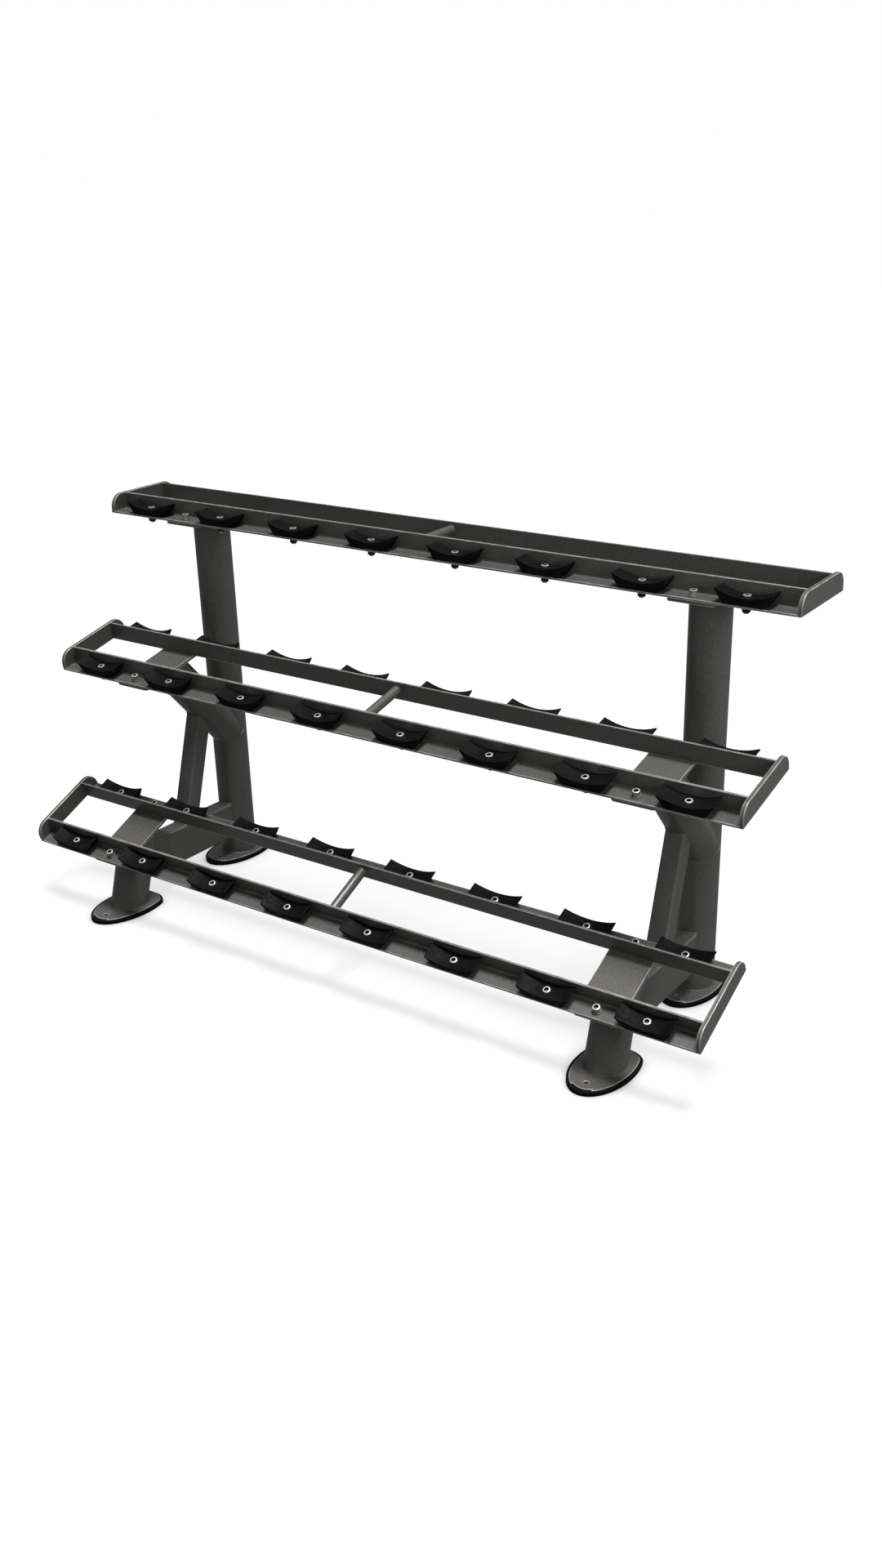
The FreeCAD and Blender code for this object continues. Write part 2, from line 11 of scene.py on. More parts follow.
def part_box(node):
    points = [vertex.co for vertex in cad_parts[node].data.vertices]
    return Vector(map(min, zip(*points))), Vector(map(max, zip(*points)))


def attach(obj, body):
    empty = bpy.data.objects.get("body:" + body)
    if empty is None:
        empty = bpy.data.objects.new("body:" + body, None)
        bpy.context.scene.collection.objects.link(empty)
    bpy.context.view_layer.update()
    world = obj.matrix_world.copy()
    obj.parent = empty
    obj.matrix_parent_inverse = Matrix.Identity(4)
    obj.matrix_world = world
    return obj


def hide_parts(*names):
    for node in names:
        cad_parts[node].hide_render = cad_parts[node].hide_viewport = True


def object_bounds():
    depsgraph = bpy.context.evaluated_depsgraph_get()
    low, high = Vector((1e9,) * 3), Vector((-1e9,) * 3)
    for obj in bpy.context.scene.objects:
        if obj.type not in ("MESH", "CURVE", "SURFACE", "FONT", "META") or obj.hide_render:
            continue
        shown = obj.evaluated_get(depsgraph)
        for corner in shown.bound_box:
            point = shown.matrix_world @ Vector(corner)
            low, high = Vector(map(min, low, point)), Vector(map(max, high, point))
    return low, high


# Dumbbell rack: the CAD frame with powder-coat, rubber and steel materials, moulded saddles,
# detailed fasteners and weld beads.  Everything is in metres, in the rack's own frame.

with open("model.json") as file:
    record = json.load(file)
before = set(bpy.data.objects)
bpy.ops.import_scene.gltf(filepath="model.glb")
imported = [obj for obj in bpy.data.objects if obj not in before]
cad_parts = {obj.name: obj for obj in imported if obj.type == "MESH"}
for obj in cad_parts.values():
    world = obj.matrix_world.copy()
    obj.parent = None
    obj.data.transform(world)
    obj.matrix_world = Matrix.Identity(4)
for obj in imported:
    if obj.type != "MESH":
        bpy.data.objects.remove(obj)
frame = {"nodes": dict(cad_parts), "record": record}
NODES = frame["nodes"]
CAD_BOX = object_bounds()
MM = 0.001
TIERS = ("bottom", "middle", "top")
SIDES = ("left", "right")
SAME_POINT = 0.01 * MM
FLAT_ANGLE = 0.3
SHARP_ANGLE = 50


# ---------------------------------------------------------------- node materials

class Shader:
    """A material with one Principled shader, and short calls that add nodes to it."""

    def __init__(self, name, **sockets):
        self.material = bpy.data.materials.new(name)
        self.material.use_nodes = True
        self.tree = self.material.node_tree
        self.surface = self.tree.nodes["Principled BSDF"]
        for socket, value in sockets.items():
            self.surface.inputs[socket.replace("_", " ")].default_value = value
        self.place = self.add("ShaderNodeTexCoord").outputs["Object"]

    def add(self, kind, **values):
        node = self.tree.nodes.new(kind)
        for name, value in values.items():
            setattr(node, name, value)
        return node

    def link(self, source, target):
        self.tree.links.new(source, target)

    def noise(self, scale, detail=2.0, roughness=0.5):
        """Noise in the rack's frame; scale is in waves to the metre."""
        node = self.add("ShaderNodeTexNoise")
        self.link(self.place, node.inputs["Vector"])
        node.inputs["Scale"].default_value = scale
        node.inputs["Detail"].default_value = detail
        node.inputs["Roughness"].default_value = roughness
        return node.outputs["Fac"]

    def flakes(self, scale):
        """Cells of random brightness, such as flakes in a coat of paint."""
        node = self.add("ShaderNodeTexVoronoi")
        self.link(self.place, node.inputs["Vector"])
        node.inputs["Scale"].default_value = scale
        split = self.add("ShaderNodeSeparateColor")
        self.link(node.outputs["Color"], split.inputs["Color"])
        return split.outputs["Red"]

    def between(self, source, low, high, to_low=0.0, to_high=1.0):
        """Map the range low to high onto to_low to to_high, held at both ends."""
        node = self.add("ShaderNodeMapRange")
        self.link(source, node.inputs["Value"])
        limits = {"From Min": low, "From Max": high, "To Min": to_low, "To Max": to_high}
        for name, value in limits.items():
            node.inputs[name].default_value = value
        return node.outputs["Result"]

    def blend(self, factor, first, second):
        """Mix of two colours, each a tuple or a socket."""
        node = self.add("ShaderNodeMix", data_type="RGBA")
        self.link(factor, node.inputs["Factor"])
        for socket, colour in ((node.inputs[6], first), (node.inputs[7], second)):
            if isinstance(colour, tuple):
                socket.default_value = (*colour, 1.0)
            else:
                self.link(colour, socket)
        return node.outputs[2]

    def edges(self, radius):
        """1 near sharp and rounded edges, 0 on flat faces."""
        round_over = self.add("ShaderNodeBevel", samples=4)
        round_over.inputs["Radius"].default_value = radius
        true = self.add("ShaderNodeNewGeometry")
        dot = self.add("ShaderNodeVectorMath", operation="DOT_PRODUCT")
        self.link(round_over.outputs["Normal"], dot.inputs[0])
        self.link(true.outputs["Normal"], dot.inputs[1])
        return self.between(dot.outputs["Value"], 0.995, 0.93)

    def bumps(self, *layers):
        """Stack bump layers, each (height socket, distance in metres, strength)."""
        normal = None
        for height, distance, strength in layers:
            node = self.add("ShaderNodeBump")
            node.inputs["Distance"].default_value = distance
            node.inputs["Strength"].default_value = strength
            self.link(height, node.inputs["Height"])
            if normal:
                self.link(normal, node.inputs["Normal"])
            normal = node.outputs["Normal"]
        self.link(normal, self.surface.inputs["Normal"])

    def colour(self, source):
        self.link(source, self.surface.inputs["Base Color"])

    def rough(self, source):
        self.link(source, self.surface.inputs["Roughness"])


def make_paint(name, dark, light, flake, edge):
    """Metallic powder coat: fine bright flakes, slow changes of tone, a painted highlight in patches
    along the edges, orange peel.
    """
    coat = Shader(name, Metallic=0.35, Specular_IOR_Level=0.45, Coat_Weight=0.3, Coat_Roughness=0.16)
    tone = coat.blend(coat.between(coat.noise(4.0, 2.0), 0.35, 0.65), dark, light)
    fine = coat.between(coat.flakes(1100.0), 0.5, 1.0, 0.0, 0.5)
    flaked = coat.blend(fine, tone, flake)
    coarse = coat.between(coat.flakes(620.0), 0.72, 1.0, 0.0, 0.3)
    flaked = coat.blend(coarse, flaked, flake)
    # Painted highlight: the edge colour is laid along sharp and rounded edges, in patches set by noise.
    highlight_patches = coat.between(coat.noise(45.0, 4.0), 0.3, 0.6, 0.5, 1.0)
    edge_highlight = coat.add("ShaderNodeMath", operation="MULTIPLY")
    coat.link(coat.edges(3.0 * MM), edge_highlight.inputs[0])
    coat.link(highlight_patches, edge_highlight.inputs[1])
    coat.colour(coat.blend(edge_highlight.outputs[0], flaked, edge))
    coat.rough(coat.between(coat.noise(220.0, 2.0), 0.3, 0.7, 0.42, 0.52))
    coat.bumps((coat.noise(420.0, 3.0, 0.6), 0.0001, 0.3), (coat.noise(1500.0, 1.0), 0.00004, 0.35))
    return coat.material


def make_rubber(name, dark, light, edge, rough_low, rough_high, grain):
    """Moulded rubber: fine grain, faint bloom on the faces, a faint painted highlight along the edges."""
    skin = Shader(name, Specular_IOR_Level=0.08)
    bloom = skin.between(skin.noise(28.0, 5.0, 0.6), 0.42, 0.72)
    # Painted highlight: rim lifts the edges towards the edge colour.
    rim = skin.between(skin.edges(1.6 * MM), 0.0, 1.0, 0.0, 0.8)
    skin.colour(skin.blend(rim, skin.blend(bloom, dark, light), edge))
    skin.rough(skin.between(skin.noise(90.0, 4.0), 0.3, 0.7, rough_low, rough_high))
    skin.bumps((skin.noise(grain, 4.0, 0.65), 0.0002, 0.4), (skin.noise(35.0, 2.0), 0.0008, 0.12))
    return skin.material


def make_steel(name, base, stain, rough_low, rough_high, scratch, metallic=1.0):
    """Plated steel: turned marks, small stains and uneven gloss."""
    metal = Shader(name, Metallic=metallic, Specular_IOR_Level=0.5)
    metal.colour(metal.blend(metal.between(metal.noise(140.0, 4.0), 0.5, 0.75), base, stain))
    metal.rough(metal.between(metal.noise(320.0, 3.0), 0.3, 0.7, rough_low, rough_high))
    metal.bumps((metal.noise(scratch, 3.0), 0.00006, 0.5))
    return metal.material


# The last colour of each paint is its painted highlight along the edges.
PAINT = make_paint("powder_coat", (0.085, 0.083, 0.079), (0.096, 0.094, 0.090),
                   (0.24, 0.235, 0.225), (0.85, 0.83, 0.80))
WELD_PAINT = make_paint("weld_coat", (0.080, 0.078, 0.074), (0.092, 0.090, 0.086),
                        (0.20, 0.195, 0.185), (0.11, 0.108, 0.104))
# The third colour of each rubber is its painted highlight along the edges.
SADDLE_RUBBER = make_rubber("saddle_rubber", (0.0035, 0.0035, 0.0036), (0.007, 0.007, 0.0072),
                            (0.015, 0.015, 0.015), 0.5, 0.68, 900.0)
FOOT_RUBBER = make_rubber("foot_rubber", (0.003, 0.003, 0.003), (0.006, 0.006, 0.006),
                          (0.016, 0.016, 0.016), 0.6, 0.8, 700.0)
BOLT_STEEL = make_steel("bright_zinc", (0.80, 0.79, 0.77), (0.55, 0.54, 0.52), 0.3, 0.42, 1500.0, 0.6)
WASHER_STEEL = make_steel("grey_zinc", (0.22, 0.215, 0.205), (0.12, 0.118, 0.112), 0.34, 0.5, 1200.0, 0.6)
NUT_STEEL = make_steel("dark_phosphate", (0.045, 0.044, 0.042), (0.02, 0.02, 0.02), 0.4, 0.6, 1400.0)
# Painted shade: a darker copy of the bright zinc for the sides of the bolt heads.
SHADED_SIDE_STEEL = make_steel("bolt_side_painted_shade", (0.33, 0.325, 0.315), (0.20, 0.195, 0.19), 0.36, 0.5, 1500.0, 0.6)
# Painted shade: near-black steel in the bolts' hex sockets.
SOCKET_SHADE_STEEL = make_steel("socket_painted_shade", (0.05, 0.05, 0.05), (0.015, 0.015, 0.015), 0.45, 0.65, 1200.0)
SLOT_MATERIALS = {"frame_paint": PAINT, "saddle_rubber": SADDLE_RUBBER, "foot_rubber": FOOT_RUBBER,
                  "bolt_steel": BOLT_STEEL, "washer_steel": WASHER_STEEL, "nut_steel": NUT_STEEL}


def paint_frame():
    """Give each CAD node the material of its slot in the record."""
    slots = {part["node"]: part["material_slot"] for part in frame["record"]["subparts"]}
    for name, node in NODES.items():
        node.data.materials.clear()
        node.data.materials.append(SLOT_MATERIALS[slots[name]])


def soften(name, width, flatten):
    """Break the sharp edges of a CAD node with a small bevel.

    With flatten, the triangles of each flat face are joined first, so that no sliver folds over.
    """
    node = NODES[name]
    node.modifiers.new("merge", "WELD").merge_threshold = SAME_POINT
    if flatten:
        flat = node.modifiers.new("flatten", "DECIMATE")
        flat.decimate_type = "DISSOLVE"
        flat.angle_limit = math.radians(FLAT_ANGLE)
    bevel = node.modifiers.new("soften", "BEVEL")
    bevel.width = width
    bevel.segments = 2
    bevel.limit_method = "ANGLE"
    bevel.angle_limit = math.radians(SHARP_ANGLE)
    bevel.harden_normals = True


def soften_plates():
    for side in SIDES:
        for tier in TIERS:
            soften("%s_%s_mount_plate" % (side, tier), 0.9 * MM, False)
        for end in ("front", "rear"):
            soften("%s_%s_foot_plate" % (side, end), 0.7 * MM, True)
            soften("%s_%s_foot_pad" % (side, end), 1.1 * MM, True)


# ---------------------------------------------------------------- places read from the frame

def axes_of(tier):
    """Rotation of a tier's own frame: X along the rack, Y up its slope, Z square to it."""
    middles = [sum(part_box("%s_%s_saddles" % (tier, row)), Vector()) / 2 for row in ("front", "rear")]
    slope = (middles[1] - middles[0]).normalized()
    along = Vector((1, 0, 0))
    return Matrix((along, slope, along.cross(slope))).transposed()


AXES = {tier: axes_of(tier) for tier in TIERS}


def islands(name, axes):
    """Boxes of a node's separate solids in a turned frame: a list of (lowest, highest)."""
    mesh = bmesh.new()
    mesh.from_mesh(NODES[name].data)
    bmesh.ops.remove_doubles(mesh, verts=mesh.verts, dist=SAME_POINT)
    seen = set()
    found = []
    turn = axes.transposed()
    for first in mesh.verts:
        if first in seen:
            continue
        seen.add(first)
        group = [first]
        for vertex in group:
            for edge in vertex.link_edges:
                other = edge.other_vert(vertex)
                if other not in seen:
                    seen.add(other)
                    group.append(other)
        points = [turn @ vertex.co for vertex in group]
        found.append((Vector(map(min, zip(*points))), Vector(map(max, zip(*points)))))
    mesh.free()
    return found


# ---------------------------------------------------------------- mesh building

def add_piece(name, mesh, materials, node=None, sharp=35.0):
    """Turn a bmesh into a piece that rides on the rack; node is the CAD node it stands for."""
    bmesh.ops.recalc_face_normals(mesh, faces=mesh.faces)
    data = bpy.data.meshes.new(name)
    mesh.to_mesh(data)
    mesh.free()
    data.shade_smooth()
    data.set_sharp_from_angle(angle=math.radians(sharp))
    for material in materials:
        data.materials.append(material)
    piece = bpy.data.objects.new(name, data)
    bpy.context.scene.collection.objects.link(piece)
    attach(piece, "root")
    if node:
        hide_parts(node)
    return piece


def add_rings(mesh, rings, count, place, tint=None):
    """Lathe-like solid: rings of (radius, height), where radius may be a function of the angle."""
    tint = tint or {}
    loops = []
    for radius, height in rings:
        loop = []
        for i in range(count):
            angle = 2 * math.pi * i / count
            reach = radius(angle) if callable(radius) else radius
            point = Vector((reach * math.cos(angle), reach * math.sin(angle), height))
            loop.append(mesh.verts.new(place @ point))
        loops.append(loop)
    for level, (low, high) in enumerate(zip(loops, loops[1:])):
        for i in range(count):
            face = mesh.faces.new((low[i], low[(i + 1) % count], high[(i + 1) % count], high[i]))
            face.material_index = tint.get(level, 0)
    return loops


def cap(mesh, loop, material=0):
    mesh.faces.new(loop).material_index = material


def hexagon(flats, limit=1.0):
    """Radius of a hexagon at an angle, cut back to a circle of radius limit."""
    def radius(angle):
        turned = (angle % (math.pi / 3)) - math.pi / 6
        return min(flats / 2 / math.cos(turned), limit)
    return radius


# ---------------------------------------------------------------- fasteners

BOLT_POINTS = 48
BOLT_HEAD_HEIGHT = 12 * MM
BOLT_HEAD_RADIUS = 9 * MM
BOLT_SOCKET_SHADE = 1
BOLT_SHADED_SIDE = 2


def add_cap_bolt(mesh, place, head, radius, length, threaded):
    """M12 cap bolt: knurled head with a hexagon socket, its shank threaded at the end."""
    edge, knurl, core, pitch = 0.9 * MM, 0.28 * MM, 5.1 * MM, 1.75 * MM
    shank = 5.9 * MM

    def grip(angle):
        return radius - knurl * (round(angle / (2 * math.pi) * BOLT_POINTS) % 2)

    socket = hexagon(10 * MM)
    rings = [(shank, -length + threaded), (shank, -0.4 * MM), (shank + 0.4 * MM, 0.0),
             (radius - 0.3 * MM, 0.0), (radius, 0.4 * MM), (grip, 0.8 * MM),
             (grip, head - 2.2 * edge), (radius, head - 2.0 * edge), (radius, head - edge),
             (radius - 0.3 * edge, head - 0.3 * edge), (radius - edge, head),
             (hexagon(10.8 * MM, 6.0 * MM), head), (hexagon(10.2 * MM), head - 0.5 * MM),
             (socket, head - 6.0 * MM), (2.5 * MM, head - 7.0 * MM)]
    # The socket is near black, as painted shade in the recess.
    tint = {level: BOLT_SOCKET_SHADE for level in (11, 12, 13)}
    # The head's side takes the darker steel, as painted shade.
    tint.update({level: BOLT_SHADED_SIDE for level in (3, 4, 5, 6, 7)})
    loops = add_rings(mesh, rings, BOLT_POINTS, place, tint)
    cap(mesh, loops[-1], BOLT_SOCKET_SHADE)
    point = 0.8 * MM
    turns = int((threaded - point) / pitch)
    thread = [(core, -length), (shank, -length + point)]
    for turn in range(turns):
        base = -length + point + turn * pitch
        thread += [(shank, base + 0.3 * pitch), (core, base + 0.65 * pitch), (shank, base + pitch)]
    thread.append((shank, -length + threaded))
    tail = add_rings(mesh, thread, BOLT_POINTS, place)
    cap(mesh, tail[0])
    bmesh.ops.remove_doubles(mesh, verts=tail[-1] + loops[0], dist=0.001 * MM)


def add_washer(mesh, place, radius, bore, thickness):
    edge = 0.35 * MM
    rings = [(bore, 0.0), (radius - edge, 0.0), (radius, edge), (radius, thickness - edge),
             (radius - edge, thickness), (bore, thickness), (bore, 0.0)]
    add_rings(mesh, rings, BOLT_POINTS, place)


def add_nut(mesh, place, flats, height):
    """Hexagon nut with chamfered corners and a countersunk bore."""
    corner, bore = flats / math.sqrt(3), 5.3 * MM
    body = hexagon(flats)
    drop = 1.4 * MM
    rings = [(bore, 0.8 * MM), (6.6 * MM, 0.0), (flats / 2 - 0.3 * MM, 0.0),
             (hexagon(flats, corner - drop), 0.5 * MM), (body, drop), (body, height - drop),
             (hexagon(flats, corner - drop), height - 0.5 * MM), (flats / 2 - 0.3 * MM, height),
             (6.6 * MM, height), (bore, height - 0.8 * MM), (bore, 0.8 * MM)]
    add_rings(mesh, rings, BOLT_POINTS, place)


def seat(axes, low, high, up):
    """Placement at the middle of a box's lower or upper end, Z along the tier's own Z."""
    point = Vector(((low.x + high.x) / 2, (low.y + high.y) / 2, high.z if up else low.z))
    return Matrix.Translation(axes @ point) @ axes.to_4x4()


def add_fasteners(tier):
    """Bolts, washers and nuts of a tier, each where its CAD solid stands."""
    axes = AXES[tier]
    for kind, thread in (("saddle", 18 * MM), ("mount", 8 * MM)):
        node = "%s_%s_bolts" % (tier, kind)
        mesh = bmesh.new()
        for low, high in islands(node, axes):
            place = seat(axes, low, high, True) @ Matrix.Translation((0, 0, -BOLT_HEAD_HEIGHT))
            length = high.z - low.z - BOLT_HEAD_HEIGHT
            add_cap_bolt(mesh, place, BOLT_HEAD_HEIGHT, BOLT_HEAD_RADIUS, length, thread)
        add_piece(node + "_cap", mesh, [BOLT_STEEL, SOCKET_SHADE_STEEL, SHADED_SIDE_STEEL], node, 30.0)
        node = "%s_%s_washers" % (tier, kind)
        mesh = bmesh.new()
        for low, high in islands(node, axes):
            add_washer(mesh, seat(axes, low, high, False), 12 * MM, 6.5 * MM, high.z - low.z)
        add_piece(node + "_ring", mesh, [WASHER_STEEL], node, 30.0)
    node = tier + "_saddle_nuts"
    mesh = bmesh.new()
    for low, high in islands(node, axes):
        add_nut(mesh, seat(axes, low, high, False), 18 * MM, high.z - low.z)
    add_piece(node + "_hex", mesh, [NUT_STEEL], node, 25.0)


# ---------------------------------------------------------------- welds

def surface_of(name):
    data = NODES[name].data
    points = [vertex.co.copy() for vertex in data.vertices]
    return BVHTree.FromPolygons(points, [tuple(face.vertices) for face in data.polygons])


def rim(name, wall):
    """Outer edge of a bar's end where it meets a wall: points in order round the bar."""
    data = NODES[name].data
    touch = 0.6 * MM
    every = [vertex.co.copy() for vertex in data.vertices]
    ends = {tuple(round(c, 6) for c in p): p for p in every if wall.find_nearest(p)[3] < touch}
    ends = list(ends.values())
    axis = (sum(ends, Vector()) / len(ends) - sum(every, Vector()) / len(every)).normalized()
    across = axis.orthogonal().normalized()
    up = axis.cross(across)
    flat = [Vector((p.dot(across), p.dot(up))) for p in ends]
    corners = convex_hull_2d(flat)
    order = []
    for first, last in zip(corners, corners[1:] + corners[:1]):
        start, run = flat[first], flat[last] - flat[first]
        order.append(first)
        between = []
        for i, point in enumerate(flat):
            along = (point - start).dot(run) / run.length_squared
            if 0.001 < along < 0.999 and (point - start - run * along).length < 0.15 * MM:
                between.append((along, i))
        order += [i for _, i in sorted(between)]
    return [ends[i] for i in order]


def evenly(loop, gap):
    """Points at an even spacing round a closed loop."""
    legs = [(b - a).length for a, b in zip(loop, loop[1:] + loop[:1])]
    count = max(12, round(sum(legs) / gap))
    step = sum(legs) / count
    points, leg, left = [], 0, 0.0
    for _ in range(count):
        while left > legs[leg] and leg < len(loop) - 1:
            left -= legs[leg]
            leg += 1
        here, there = loop[leg], loop[(leg + 1) % len(loop)]
        points.append(here.lerp(there, min(1.0, left / max(legs[leg], 1e-9))))
        left += step
    return points


def add_bead(mesh, loop, radius, pitch=3.2 * MM, gap=1.1 * MM, sides=8):
    """Weld bead: a rippled tube swept round a closed loop."""
    points = evenly(loop, gap)
    count = len(points)
    middle = sum(points, Vector()) / count
    rings = []
    for i, point in enumerate(points):
        ahead = (points[(i + 1) % count] - points[i - 1]).normalized()
        out = point - middle
        out = (out - ahead * out.dot(ahead)).normalized()
        side = ahead.cross(out)
        swell = radius * (0.93 + 0.14 * abs(math.sin(math.pi * i * gap / pitch)))
        ring = []
        for k in range(sides):
            angle = 2 * math.pi * k / sides
            ring.append(mesh.verts.new(point + (out * math.cos(angle) + side * math.sin(angle)) * swell))
        rings.append(ring)
    for i, ring in enumerate(rings):
        after = rings[(i + 1) % count]
        for k in range(sides):
            mesh.faces.new((ring[k], ring[(k + 1) % sides], after[(k + 1) % sides], after[k]))


UPRIGHT_JOINTS = (("rear_column", "rear_foot_plate"), ("rear_column", "top_mount_plate"),
                  ("front_post", "front_foot_plate"), ("front_post", "bottom_mount_plate"),
                  ("middle_arm", "middle_mount_plate"), ("middle_arm", "rear_column"),
                  ("lower_link", "front_post"), ("lower_link", "rear_column"),
                  ("diagonal_brace", "lower_link"), ("diagonal_brace", "middle_arm"))


def add_welds():
    """Beads round every welded joint of the uprights and of the rails' cross tubes."""
    for side in SIDES:
        mesh = bmesh.new()
        for bar, wall in UPRIGHT_JOINTS:
            add_bead(mesh, rim("%s_%s" % (side, bar), surface_of("%s_%s" % (side, wall))), 2.4 * MM)
        add_piece(side + "_upright_welds", mesh, [WELD_PAINT], sharp=60.0)
    for tier in TIERS:
        mesh = bmesh.new()
        for row in ("front", "rear"):
            add_bead(mesh, rim(tier + "_cross_tube", surface_of("%s_%s_rail" % (tier, row))), 1.6 * MM)
        add_piece(tier + "_tube_welds", mesh, [WELD_PAINT], sharp=60.0)


# ---------------------------------------------------------------- saddles

SADDLE_HALF_FOOT = 47 * MM
SADDLE_FLOOR = 9 * MM
SADDLE_BORE = 10.5 * MM

def rounded(corners, steps=4):
    """Outline through (x, z, radius) corners, each corner turned into an arc."""
    outline = []
    count = len(corners)
    for i, (x, z, radius) in enumerate(corners):
        here = Vector((x, z))
        before = (Vector(corners[i - 1][:2]) - here).normalized()
        after = (Vector(corners[(i + 1) % count][:2]) - here).normalized()
        half = before.angle(after) / 2
        reach = radius / math.tan(half)
        centre = here + (before + after).normalized() * (radius / math.sin(half))
        start, end = here + before * reach - centre, here + after * reach - centre
        turn = start.angle_signed(end)
        for k in range(steps + 1):
            outline.append(centre + Matrix.Rotation(-turn * k / steps, 2) @ start)
    return outline


def saddle_outline(half_foot, half_top, height):
    """Side view of a saddle: flared ends, thin tips and a hollow top of large radius."""
    tip = 4 * MM
    radius = 150 * MM
    steps = 20
    centre = height + math.sqrt(radius ** 2 - half_top ** 2)
    inner = half_top - 3.0 * MM
    opening = math.asin(inner / radius)
    hollow = []
    for k in range(steps + 1):
        angle = opening * (1 - 2 * k / steps)
        hollow.append(Vector((radius * math.sin(angle), centre - radius * math.cos(angle))))
    ends = rounded([(-half_top, height, 0.8 * MM), (-half_top, height - tip, 1.5 * MM),
                    (-half_foot, 0, 6 * MM), (half_foot, 0, 6 * MM),
                    (half_top, height - tip, 1.5 * MM), (half_top, height, 0.8 * MM)])
    return ends + hollow


def make_saddle(half_foot, half_top, height, depth, floor, bore):
    """One saddle about the origin, its foot on Z = 0, with a sunken bolt seat."""
    mesh = bmesh.new()
    outline = saddle_outline(half_foot, half_top, height)
    front = [mesh.verts.new((p.x, -depth / 2, p.y)) for p in outline]
    back = [mesh.verts.new((p.x, depth / 2, p.y)) for p in outline]
    faces = [mesh.faces.new(front), mesh.faces.new(list(reversed(back)))]
    count = len(outline)
    for i in range(count):
        mesh.faces.new((front[i], back[i], back[(i + 1) % count], front[(i + 1) % count]))
    rims = [edge for face in faces for edge in face.edges]
    bmesh.ops.bevel(mesh, geom=rims, offset=0.5 * MM, segments=3, profile=0.5, affect="EDGES")
    bmesh.ops.recalc_face_normals(mesh, faces=mesh.faces)
    bmesh.ops.triangulate(mesh, faces=mesh.faces)
    data = bpy.data.meshes.new("saddle_form")
    mesh.to_mesh(data)
    mesh.free()
    return bored(data, floor, bore)


def bored(data, floor, bore):
    """Cut a round seat with a softened rim down to the saddle's floor."""
    cutter = bmesh.new()
    lip = 19.3 * MM
    rings = [(bore, floor), (bore, lip - 1.5 * MM), (bore + 0.4 * MM, lip - 0.6 * MM),
             (bore + 1.4 * MM, lip), (bore + 3 * MM, lip + 1.2 * MM), (bore + 3 * MM, 60 * MM)]
    loops = add_rings(cutter, rings, BOLT_POINTS, Matrix.Identity(4))
    cap(cutter, loops[0])
    cap(cutter, loops[-1])
    bmesh.ops.recalc_face_normals(cutter, faces=cutter.faces)
    tool_data = bpy.data.meshes.new("bore_tool")
    cutter.to_mesh(tool_data)
    cutter.free()
    tool = bpy.data.objects.new("bore_tool", tool_data)
    block = bpy.data.objects.new("saddle_block", data)
    for thing in (tool, block):
        bpy.context.scene.collection.objects.link(thing)
    cut = block.modifiers.new("bore", "BOOLEAN")
    cut.operation = "DIFFERENCE"
    cut.solver = "EXACT"
    cut.object = tool
    depsgraph = bpy.context.evaluated_depsgraph_get()
    result = bpy.data.meshes.new_from_object(block.evaluated_get(depsgraph))
    for thing in (tool, block):
        bpy.data.objects.remove(thing)
    return result


def add_saddles():
    """Six rows of moulded saddles in place of the plain CAD ones."""
    form = None
    for tier in TIERS:
        axes = AXES[tier]
        for row in ("front", "rear"):
            node = "%s_%s_saddles" % (tier, row)
            spots = islands(node, axes)
            low, high = spots[0]
            if form is None:
                form = make_saddle(SADDLE_HALF_FOOT, (high.x - low.x) / 2, high.z - low.z,
                                   high.y - low.y, SADDLE_FLOOR, SADDLE_BORE)
            mesh = bmesh.new()
            for low, high in spots:
                start = len(mesh.verts)
                mesh.from_mesh(form)
                mesh.verts.ensure_lookup_table()
                bmesh.ops.transform(mesh, matrix=seat(axes, low, high, False), verts=mesh.verts[start:])
            add_piece(node + "_moulded", mesh, [SADDLE_RUBBER], node, 40.0)


# ---------------------------------------------------------------- floor, light and camera

def unlit(thing):
    """Keep a stage piece from throwing its own light on the rack."""
    thing.visible_diffuse = False
    thing.visible_glossy = False


def add_floor():
    """Pale, evenly glowing floor a hair below the feet, so that their undersides stay clear of it, with a
    painted contact shadow near the rack.
    """
    reach = 30.0
    level = CAD_BOX[0].z - 0.3 * MM
    data = bpy.data.meshes.new("floor")
    data.from_pydata([(-reach, -reach, level), (reach, -reach, level), (reach, reach, level),
                      (-reach, reach, level)], [], [(0, 1, 2, 3)])
    floor = bpy.data.objects.new("floor", data)
    bpy.context.scene.collection.objects.link(floor)
    ground = Shader("pale_floor", Roughness=0.9, Specular_IOR_Level=0.0, Emission_Strength=0.74,
                    Emission_Color=(1.0, 1.0, 1.0, 1.0))
    ground.material.cycles.emission_sampling = "NONE"
    # Painted shadow: ambient occlusion darkens the floor's glow close to the rack, under the feet and in
    # the anchor holes.
    shade = ground.add("ShaderNodeAmbientOcclusion", samples=8)
    shade.inputs["Distance"].default_value = 0.06
    ground.link(shade.outputs["Color"], ground.surface.inputs["Emission Color"])
    ground.colour(ground.blend(ground.between(ground.noise(1.5, 3.0), 0.3, 0.7),
                               (0.21, 0.21, 0.208), (0.22, 0.22, 0.218)))
    data.materials.append(ground.material)
    unlit(floor)


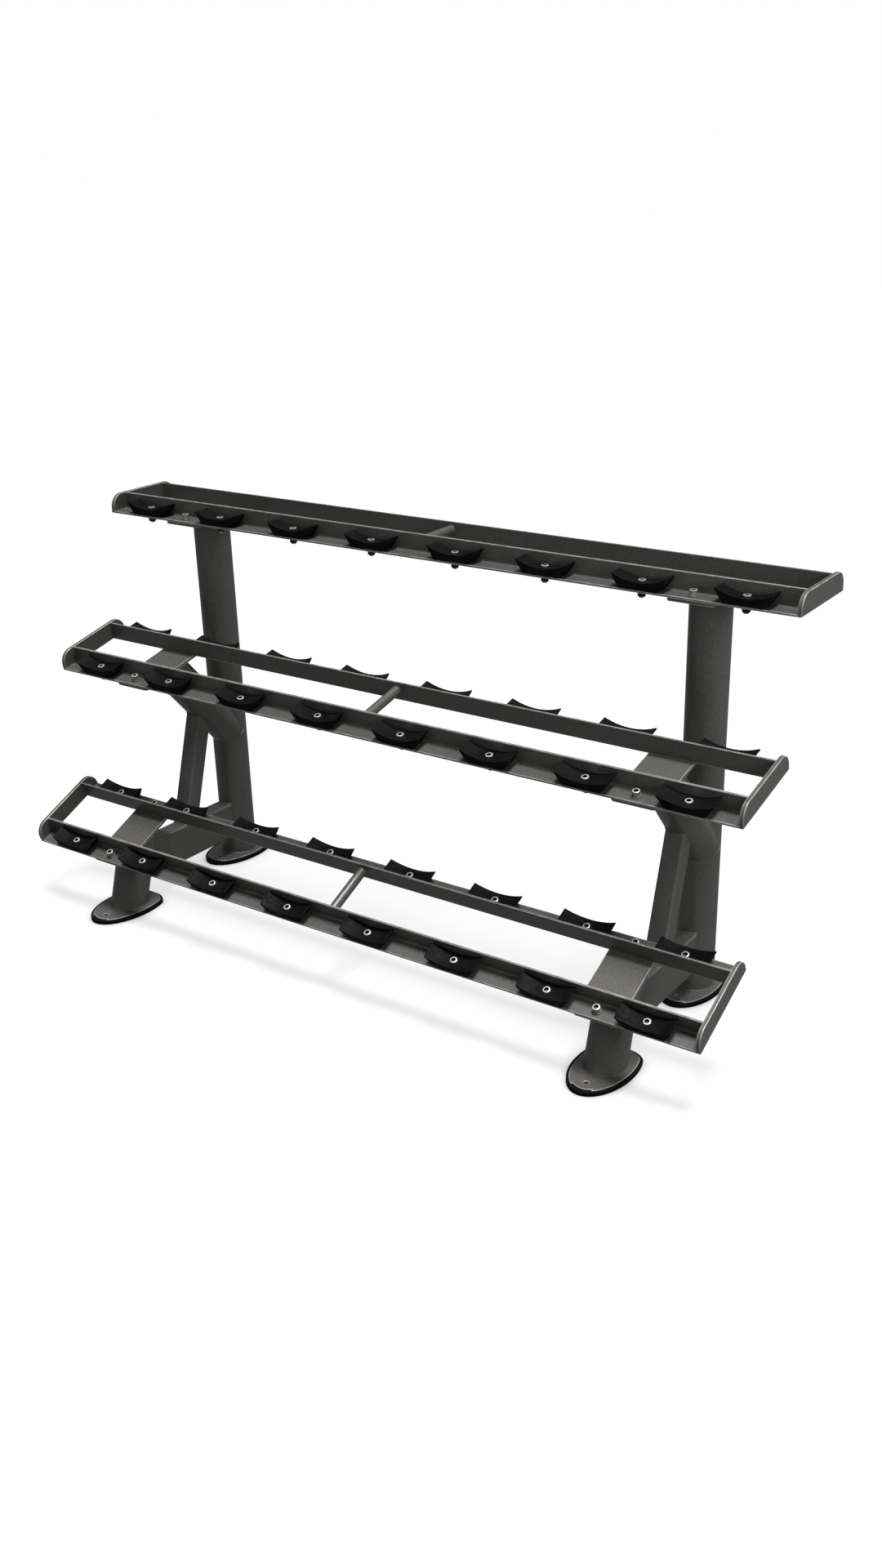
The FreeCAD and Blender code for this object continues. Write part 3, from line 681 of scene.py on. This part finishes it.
def add_backdrop():
    """Plain white dome behind everything."""
    mesh = bmesh.new()
    bmesh.ops.create_uvsphere(mesh, u_segments=48, v_segments=24, radius=60.0)
    data = bpy.data.meshes.new("backdrop")
    mesh.to_mesh(data)
    mesh.free()
    dome = bpy.data.objects.new("backdrop", data)
    bpy.context.scene.collection.objects.link(dome)
    white = Shader("white_dome", Roughness=1.0, Specular_IOR_Level=0.0, Emission_Strength=1.0,
                   Emission_Color=(1.0, 1.0, 1.0, 1.0), Base_Color=(0.0, 0.0, 0.0, 1.0))
    white.material.cycles.emission_sampling = "NONE"
    data.materials.append(white.material)
    unlit(dome)
    dome.visible_shadow = False
    dome.visible_transmission = False


def place_lamp(name, lamp, place, aim):
    light = bpy.data.objects.new(name, lamp)
    light.location = place
    light.rotation_euler = aim.to_track_quat("-Z", "Y").to_euler()
    bpy.context.scene.collection.objects.link(light)
    return light


def add_area(name, place, target, size, power):
    """Square lamp of a side of size, facing target, that leaves no glare on flat metal."""
    lamp = bpy.data.lights.new(name, "AREA")
    lamp.shape = "RECTANGLE"
    lamp.size = size
    lamp.size_y = size
    lamp.energy = power
    light = place_lamp(name, lamp, place, Vector(target) - Vector(place))
    light.visible_glossy = False


def add_sun(name, source, strength, spread):
    """Parallel light from the direction source, spread over an angle in degrees."""
    lamp = bpy.data.lights.new(name, "SUN")
    lamp.energy = strength
    lamp.angle = math.radians(spread)
    place_lamp(name, lamp, (0, 0, 0), -Vector(source))


def add_light():
    """Soft light from above, a small lamp near the right end and a weak one behind."""
    world = bpy.data.worlds.new("studio")
    world.use_nodes = True
    sky = world.node_tree.nodes["Background"]
    sky.inputs["Color"].default_value = (1.0, 1.0, 1.0, 1.0)
    sky.inputs["Strength"].default_value = 0.195
    bpy.context.scene.world = world
    middle = (CAD_BOX[0] + CAD_BOX[1]) / 2
    add_sun("overhead", (0.15, -0.05, 0.98), 3.9, 18.0)
    add_area("side", (2.9, -0.9, 1.5), (1.0, -0.1, 0.6), 1.0, 28.0)
    add_area("behind", (-2.6, 3.4, 3.0), middle, 1.6, 25.0)


def add_camera():
    """Camera at the reference view: its place, heading, pitch and roll, and its focal length."""
    heading, pitch, roll = 0.5969, -0.3780, -0.0044
    ahead = Vector((-math.sin(heading) * math.cos(pitch), math.cos(heading) * math.cos(pitch),
                    math.sin(pitch)))
    level = Vector((math.cos(heading), math.sin(heading), 0))
    right = level * math.cos(roll) + level.cross(ahead) * math.sin(roll)
    turn = Matrix((right, right.cross(ahead), -ahead)).transposed()
    lens = bpy.data.cameras.new("camera")
    lens.sensor_width = 36.0
    lens.lens = 34.42
    lens.clip_end = 200.0
    camera = bpy.data.objects.new("camera", lens)
    camera.matrix_world = Matrix.Translation((2.0887, -2.8395, 1.8599)) @ turn.to_4x4()
    bpy.context.scene.collection.objects.link(camera)
    bpy.context.scene.camera = camera


paint_frame()
soften_plates()
add_saddles()
for tier_name in TIERS:
    add_fasteners(tier_name)
add_welds()
add_floor()
add_backdrop()
add_light()
add_camera()
bpy.context.scene.view_settings.view_transform = "Standard"
